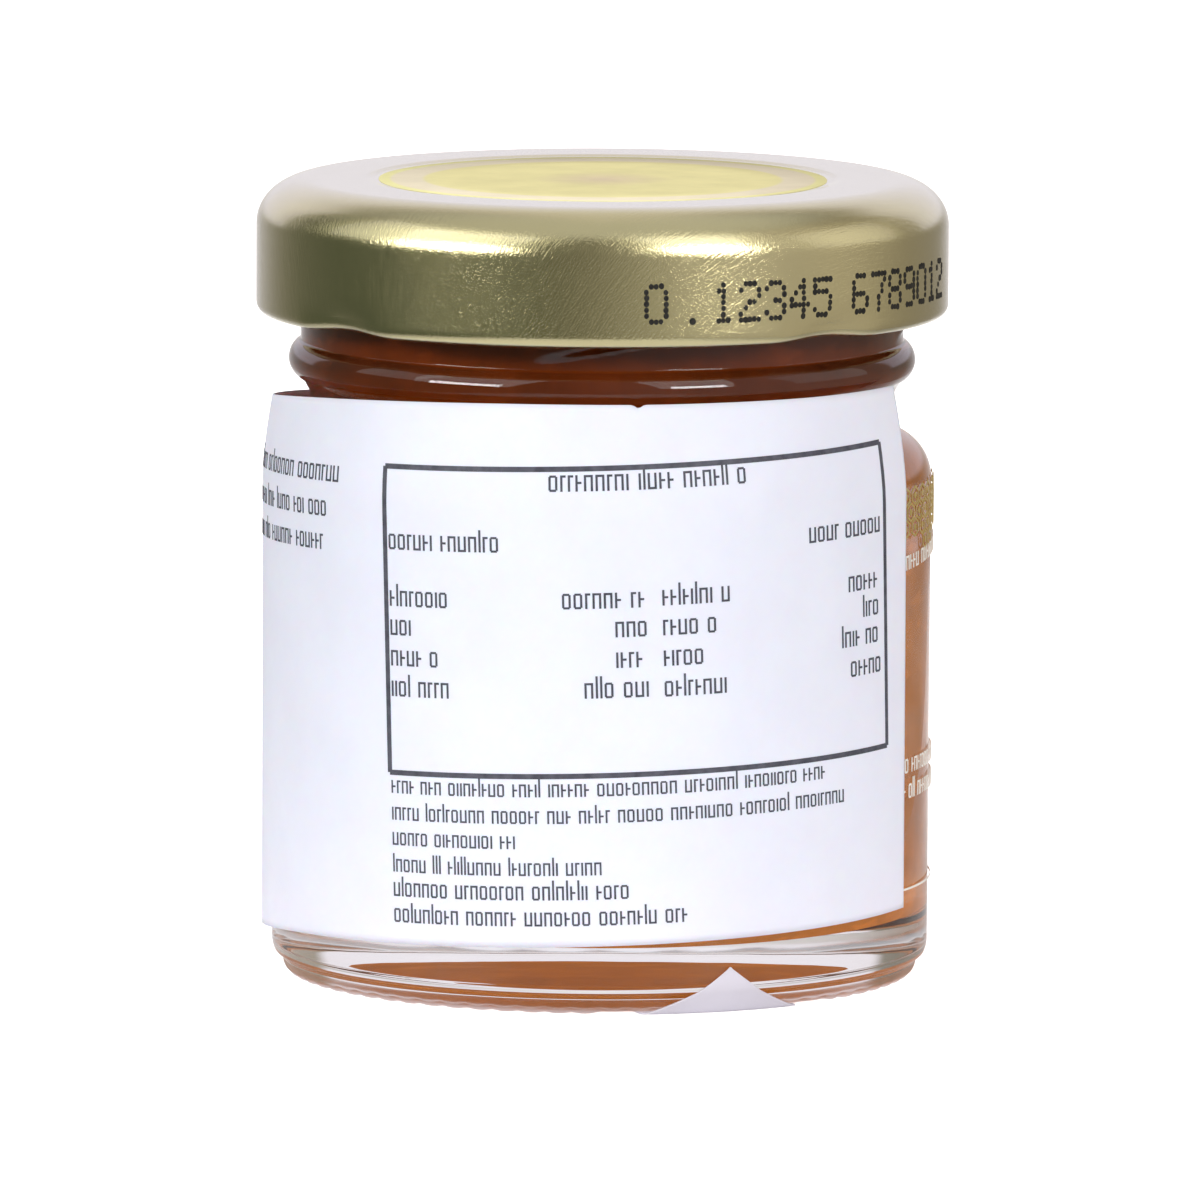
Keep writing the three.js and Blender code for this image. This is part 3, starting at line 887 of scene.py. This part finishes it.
PAPER = dict(
    thick=0.12, radius=22.06, slack=0.16, left=-138.0, right=64.0, foot=4.72, top=39.95, tilt=2.0,
    lean=0.95, slump=1.8, droop=0.5)
# a small nick in the upper edge, and the ripple of the edge that stands free
NICK = dict(deg=6.4, half_deg=0.7, deep=0.22)
RIPPLE = dict(high=0.05, waves=9, shift=1.3, calm_deg=12)


def paper_place(u, v, side):
    """The left side hangs lower and stands off further than the front."""
    p = PAPER
    angle = p["left"] + (p["right"] - p["left"]) * u
    foot = p["foot"] + p["radius"] * np.radians(angle) * math.tan(math.radians(p["tilt"]))
    foot = foot - p["droop"] * smooth(-angle, 55, 100)
    left = np.maximum(0, -angle) / 90
    top = p["top"] - p["slump"] * np.where(left < 1, left**2, 1 + (left - 1) * 1.5)
    top = top - NICK["deep"] * np.exp(-(((angle - NICK["deg"]) / NICK["half_deg"]) ** 2))
    height = foot + (top - foot) * v
    free = np.maximum(0, height - BODY["top"]) / (p["top"] - BODY["top"])
    slack = p["slack"] * smooth(-angle, 20, 90)
    waves = np.sin(np.radians(angle) * RIPPLE["waves"] + RIPPLE["shift"])
    ripple = RIPPLE["high"] * free**1.2 * waves * smooth(angle, p["left"], p["left"] + RIPPLE["calm_deg"])
    radius = p["radius"] + slack + p["thick"] * side - p["lean"] * free**1.5 + ripple
    return on_round(np.radians(angle), radius, height)


def fibre_group():
    """The fine uneven face of coated paper."""
    sizes, results = dict(Scale="Float", Depth="Float"), dict(Fibre="Float", Normal="Vector")
    group, given, made = new_group("paper_fibre", "ShaderNodeTree", sizes, results)
    place = add(group, "ShaderNodeTexCoord").outputs["Object"]
    fibre = noise_on(group, place, given["Scale"], 3.0, 0.6)
    join(group, fibre, made["Fibre"])
    join(group, bump(group, fibre, given["Depth"], 0.6), made["Normal"])
    return group


FIBRE = fibre_group()
FIBRE_SCALE = 2400
FIBRE_DEPTH = 0.012 * MM

paper = shader("label_paper", IOR=1.45, Subsurface_Weight=0.25, Subsurface_Scale=0.0004)
papers = mottled(paper, colour(230, 228, 242), colour(235, 233, 247), 160, 4.0, 0.6)
feed(paper, Base_Color=papers)
fibre = placed(paper, FIBRE, Scale=FIBRE_SCALE, Depth=FIBRE_DEPTH)
feed(paper, Roughness=ramp(paper, fibre["Fibre"], [(0.3, 0.5), (0.7, 0.65)]))
feed(paper, Normal=fibre["Normal"])
corners, faces = bent_sheet(360, 72, paper_place)
paper_piece = finished("paper_label_sheet", corners, faces, paper, "paper_label")

# the print stands square to the box, whose lower left corner is at along and up
PRINT_TILT = math.radians(1.8)
PAPER_GIRTH = 22.12
INK_THICK = 0.02
BOX = dict(along=-14.65, up=15.44, wide=36.9, high=20.0, stroke=0.34, steps_wide=60, steps_high=20)
PRINT_ROWS = [
    # start, height above the foot of the box, end, letter height
    (11.8, 18.55, 25.2, 1.5), (0.3, 14.6, 8.5, 1.45), (29.6, 14.2, 36.5, 1.45),
    (0.3, 10.9, 5.2, 1.45), (0.3, 9.0, 2.6, 1.45), (0.3, 7.0, 4.2, 1.45), (0.3, 5.0, 5.15, 1.45),
    (12.5, 10.9, 18.0, 1.45), (15.9, 9.0, 18.0, 1.45), (15.9, 7.0, 18.0, 1.45), (13.8, 5.05, 18.0, 1.45),
    (19.0, 10.95, 23.7, 1.45), (19.0, 9.0, 23.3, 1.45), (19.0, 7.0, 22.2, 1.45), (19.0, 5.0, 24.0, 1.45),
    (33.0, 10.6, 36.5, 1.45), (34.4, 8.8, 36.5, 1.45), (32.3, 7.0, 36.5, 1.45), (33.1, 5.0, 36.5, 1.45),
    (0.1, -1.35, 31.1, 1.2), (0.1, -3.1, 32.7, 1.2), (0.1, -4.75, 9.2, 1.2), (0.1, -6.5, 14.8, 1.2),
    (0.1, -8.1, 16.5, 1.3), (0.1, -9.8, 20.4, 1.3),
    (-34.0, 18.7, -4.0, 1.5), (-34.0, 16.4, -4.9, 1.45), (-34.0, 14.2, -5.5, 1.45),
]


def on_label(x, level, width, height):
    """A mark's place on the paper, from its place in the box."""
    along = BOX["along"] + x * math.cos(PRINT_TILT) - level * math.sin(PRINT_TILT)
    up = BOX["up"] + x * math.sin(PRINT_TILT) + level * math.cos(PRINT_TILT)
    return along, up, width, height, PRINT_TILT


def printed_places():
    rng = random.Random(27)
    found = {kind: [] for kind in STROKES}
    for start, level, end, tall in PRINT_ROWS:
        narrow = tall * 0.66
        for kind, x in row_of_strokes(rng, start, end, tall, narrow):
            place = on_label(x, level, narrow, tall)
            if place[0] > math.radians(PAPER["left"] + 2) * PAPER_GIRTH:
                found[kind].append(place)
    return found


def ruled_places():
    """The box as short lengths of line, so that it follows the round."""
    wide, high, stroke = BOX["wide"], BOX["high"], BOX["stroke"]
    places = []
    for level in (0.0, high):
        step = wide / BOX["steps_wide"]
        places += [on_label(step * (i + 0.5), level, step, stroke) for i in range(BOX["steps_wide"])]
    for side in (0.0, wide):
        step = high / BOX["steps_high"]
        places += [on_label(side, step * (i + 0.5), stroke, step) for i in range(BOX["steps_high"])]
    return places


grey_ink = shader("grey_print", Roughness=0.6)
greys = mottled(grey_ink, colour(58, 58, 70), colour(84, 84, 96), 1500, 3.0)
feed(grey_ink, Base_Color=greys)
marks = []
for kind, places in printed_places().items():
    marks.append((flat_mark("stroke_" + kind, STROKES[kind], INK_THICK), places))
marks.append((flat_mark("ruled_length", [bar(-0.5, -0.5, 0.5, 0.5)], INK_THICK), ruled_places()))
brought_round("label_print", marks, paper_piece, PAPER_GIRTH, INK_THICK, grey_ink)

# Base sticker
# A strip of white coated paper stuck under the base. Its pointed end turns up
# over the heel at the front right.

STICKER = dict(
    long=20.0, half_wide=5.5, spread=1.35, thick=0.1, gap=0.09, reach=24.0, clearance=0.02, tip=0.03)


def base_outline():
    """The underside and the heel, over whose hollow the sticker spans."""
    push = domed(np.linspace(0, STAND_IN, 40)[:-1], STAND_IN, 0.0, PUSH_UP)
    return np.array(push + through(RING + HEEL, 10) + [(BODY["radius"], BODY["top"])])


def along_base(distance):
    """Place and outward normal, by distance from the axis measured over the surface."""
    outline = base_outline()
    steps = np.diff(outline, axis=0)
    lengths = np.hypot(steps[:, 0], steps[:, 1])
    ends = np.concatenate([[0], np.cumsum(lengths)])
    r = np.interp(distance, ends, outline[:, 0])
    z = np.interp(distance, ends, outline[:, 1])
    middle = (ends[1:] + ends[:-1]) / 2
    dr = np.interp(distance, middle, steps[:, 0] / lengths)
    dz = np.interp(distance, middle, steps[:, 1] / lengths)
    size = np.hypot(dr, dz)
    return r, z, dz / size, -dr / size


def sticker_place(u, v, side):
    s = STICKER
    forward = s["reach"] - s["long"] * (1 - v)
    pointed = s["spread"] * (s["reach"] - forward)
    sideways = (2 * u - 1) * np.maximum(s["tip"], np.minimum(pointed, s["half_wide"]))
    distance = np.hypot(forward, sideways)
    turn = np.arctan2(sideways, forward)
    r, z, nr, nz = along_base(distance)
    lift = s["gap"] + s["thick"] * side
    z = np.maximum(z + nz * lift, s["clearance"] + s["thick"] * (1 - side))
    return on_round(math.radians(STICKER_DEG) + turn, r + nr * lift, z)


sticker = shader("sticker_paper", Roughness=0.55, IOR=1.45)
stickers = mottled(sticker, colour(206, 202, 214), colour(213, 209, 221), 300, 4.0)
feed(sticker, Base_Color=stickers)
fibre = placed(sticker, FIBRE, Scale=FIBRE_SCALE, Depth=FIBRE_DEPTH)
feed(sticker, Normal=fibre["Normal"])
corners, faces = bent_sheet(40, 160, sticker_place)
finished("turned_up_sticker", corners, faces, sticker, "base_sticker")

# Studio
# A pale table that runs away behind the jar, two tall soft boxes in front at the
# left and the right with a bright lamp in each, dimmer ones at both sides, a pale
# room behind and a dim one in front.

TABLE = [(-0.07, -0.14), (0.07, -0.14), (0.07, 0.3), (0.25, 1.1), (-0.25, 1.1), (-0.07, 0.3)]
# the table dims from beside the jar outwards
DIM = dict(near=0.034, far=0.064, near_white=0.8, far_white=0.4)
mesh = bpy.data.meshes.new("table")
mesh.from_pydata([(x, y, 0) for x, y in TABLE], [], [tuple(range(len(TABLE)))])
table_white = shader("table_white", Roughness=0.6, Emission_Color=(1, 0.96, 0.94, 1))
place = place_on(table_white)
sideways = math_node(table_white, "ABSOLUTE", place["X"])
whiteness = soft_range(table_white, sideways, DIM["near"], DIM["far"], DIM["near_white"], DIM["far_white"])
feed(table_white, Base_Color=whiteness)
# it shines a little under the jar and more behind it, and is pure white to the eye
under_jar = soft_range(table_white, off_axis(table_white, place), 0.034, 0.050, 0.08, 0.0)
behind_jar = soft_range(table_white, place["Y"], 0.03, 0.14, 0.0, 0.45)
lit = math_node(table_white, "ADD", under_jar, behind_jar)
light_path = add(table_white, "ShaderNodeLightPath")
lifted = math_node(table_white, "MULTIPLY", light_path.outputs["Is Camera Ray"], 0.8)
feed(table_white, Emission_Strength=math_node(table_white, "ADD", lit, lifted))
mesh.materials.append(table_white)
table = bpy.data.objects.new("table", mesh)
bpy.context.scene.collection.objects.link(table)

BOX_DISTANCE = 0.7
AIMED_AT = Vector((0, 0, 0.03))
# azimuth, elevation, width and height in degrees, and brightness
SOFT_BOXES = {
    "left_box": (-53, 32, 40, 42, 1.6),
    "left_lamp": (-52, 15.5, 28, 10, 15.0),
    "right_box": (35, 32, 29, 42, 1.6),
    "right_lamp": (36, 15.5, 20, 10, 15.0),
    "left_side_box": (-88, 34, 32, 40, 0.8),
    "right_side_box": (94, 21, 40, 34, 0.42),
}


def soft_box(name, azimuth_deg, elevation_deg, wide_deg, high_deg, brightness):
    a, e = math.radians(azimuth_deg), math.radians(elevation_deg)
    light = bpy.data.lights.new(name, "AREA")
    light.shape = "RECTANGLE"
    light.size = 2 * BOX_DISTANCE * math.tan(math.radians(wide_deg / 2))
    light.size_y = 2 * BOX_DISTANCE * math.tan(math.radians(high_deg / 2))
    light.energy = brightness * math.pi * light.size * light.size_y
    lamp = bpy.data.objects.new(name, light)
    toward = Vector((math.sin(a) * math.cos(e), -math.cos(a) * math.cos(e), math.sin(e)))
    lamp.location = toward * BOX_DISTANCE + AIMED_AT
    lamp.rotation_euler = toward.to_track_quat("Z", "Y").to_euler()
    bpy.context.scene.collection.objects.link(lamp)


for name, sizes in SOFT_BOXES.items():
    soft_box(name, *sizes)

# bearing in degrees from the front, and the colour of the room there
ROOM_BY_BEARING = [
    (-180, (0.86, 0.83, 0.82)), (-168, (0.68, 0.65, 0.65)), (-157, (0.5, 0.48, 0.47)),
    (-144, (0.33, 0.32, 0.30)), (-134, (0.23, 0.225, 0.19)), (-124, (0.16, 0.165, 0.135)),
    (-100, (0.10, 0.116, 0.09)), (-30, (0.12, 0.135, 0.105)), (-8, (0.2, 0.195, 0.17)),
    (15, (0.38, 0.37, 0.34)), (50, (0.52, 0.50, 0.48)), (88, (0.54, 0.50, 0.45)),
    (120, (0.33, 0.30, 0.25)), (150, (0.30, 0.275, 0.23)), (164, (0.58, 0.55, 0.54)),
    (180, (0.86, 0.83, 0.82)),
]
BACKDROP_WHITE = (0.88, 0.85, 0.93, 1)
world = bpy.data.worlds.new("room")
bpy.context.scene.world = world
world.use_nodes = True
way = add(world, "ShaderNodeSeparateXYZ")
join(world, add(world, "ShaderNodeTexCoord").outputs["Generated"], way.inputs[0])
from_front = math_node(world, "MULTIPLY", way.outputs["Y"], -1.0)
turns = math_node(world, "DIVIDE", math_node(world, "ARCTAN2", way.outputs["X"], from_front), 2 * math.pi)
walls = ramp(world, math_node(world, "ADD", 0.5, turns), [
    (degrees / 360 + 0.5, (*shade, 1)) for degrees, shade in ROOM_BY_BEARING])
overhead = soft_range(world, way.outputs["Z"], 0.6, 0.9, 0.0, 0.65)
# a pale backdrop stands behind, from just over the table to well above the jar
backdrop_side = soft_range(world, math_node(world, "ABSOLUTE", turns), 131 / 360, 137 / 360, 0.0, 1.0)
backdrop_foot = soft_range(world, way.outputs["Z"], 0.0, 0.1, 0.0, 1.0)
backdrop_top = soft_range(world, way.outputs["Z"], 0.55, 0.7, 1.0, 0.0)
upright = math_node(world, "MULTIPLY", backdrop_foot, backdrop_top)
behind = math_node(world, "MULTIPLY", backdrop_side, upright)
room = mixed(world, walls, BACKDROP_WHITE, behind, "MIX")
# the eye sees nothing darker than white behind the jar
at_least = math_node(world, "MAXIMUM", overhead, add(world, "ShaderNodeLightPath").outputs["Is Camera Ray"])
lightest = mixed(world, room, at_least, 1.0, "LIGHTEN")
join(world, lightest, world.node_tree.nodes["Background"].inputs["Color"])
bpy.context.scene.view_settings.view_transform = "Standard"

CAMERA_FAR = 1.1
CAMERA_UP_DEG = 7.2
CAMERA_ROLL_DEG = 0.27
CAMERA_AIM = Vector((-0.00006, 0, 0.02457))
camera_data = bpy.data.cameras.new("camera")
camera_data.sensor_width = 36
camera_data.lens = 500
camera = bpy.data.objects.new("camera", camera_data)
up = math.radians(CAMERA_UP_DEG)
back = Vector((0, -math.cos(up), math.sin(up)))
camera.location = CAMERA_AIM + back * CAMERA_FAR
right = Vector((1, 0, 0))
upward = back.cross(right)
roll = math.radians(CAMERA_ROLL_DEG)
side_axis = right * math.cos(roll) + upward * math.sin(roll)
top_axis = upward * math.cos(roll) - right * math.sin(roll)
turn = [[side_axis[i], top_axis[i], back[i]] for i in range(3)]
camera.rotation_euler = Matrix(turn).to_euler()
bpy.context.scene.collection.objects.link(camera)
bpy.context.scene.camera = camera
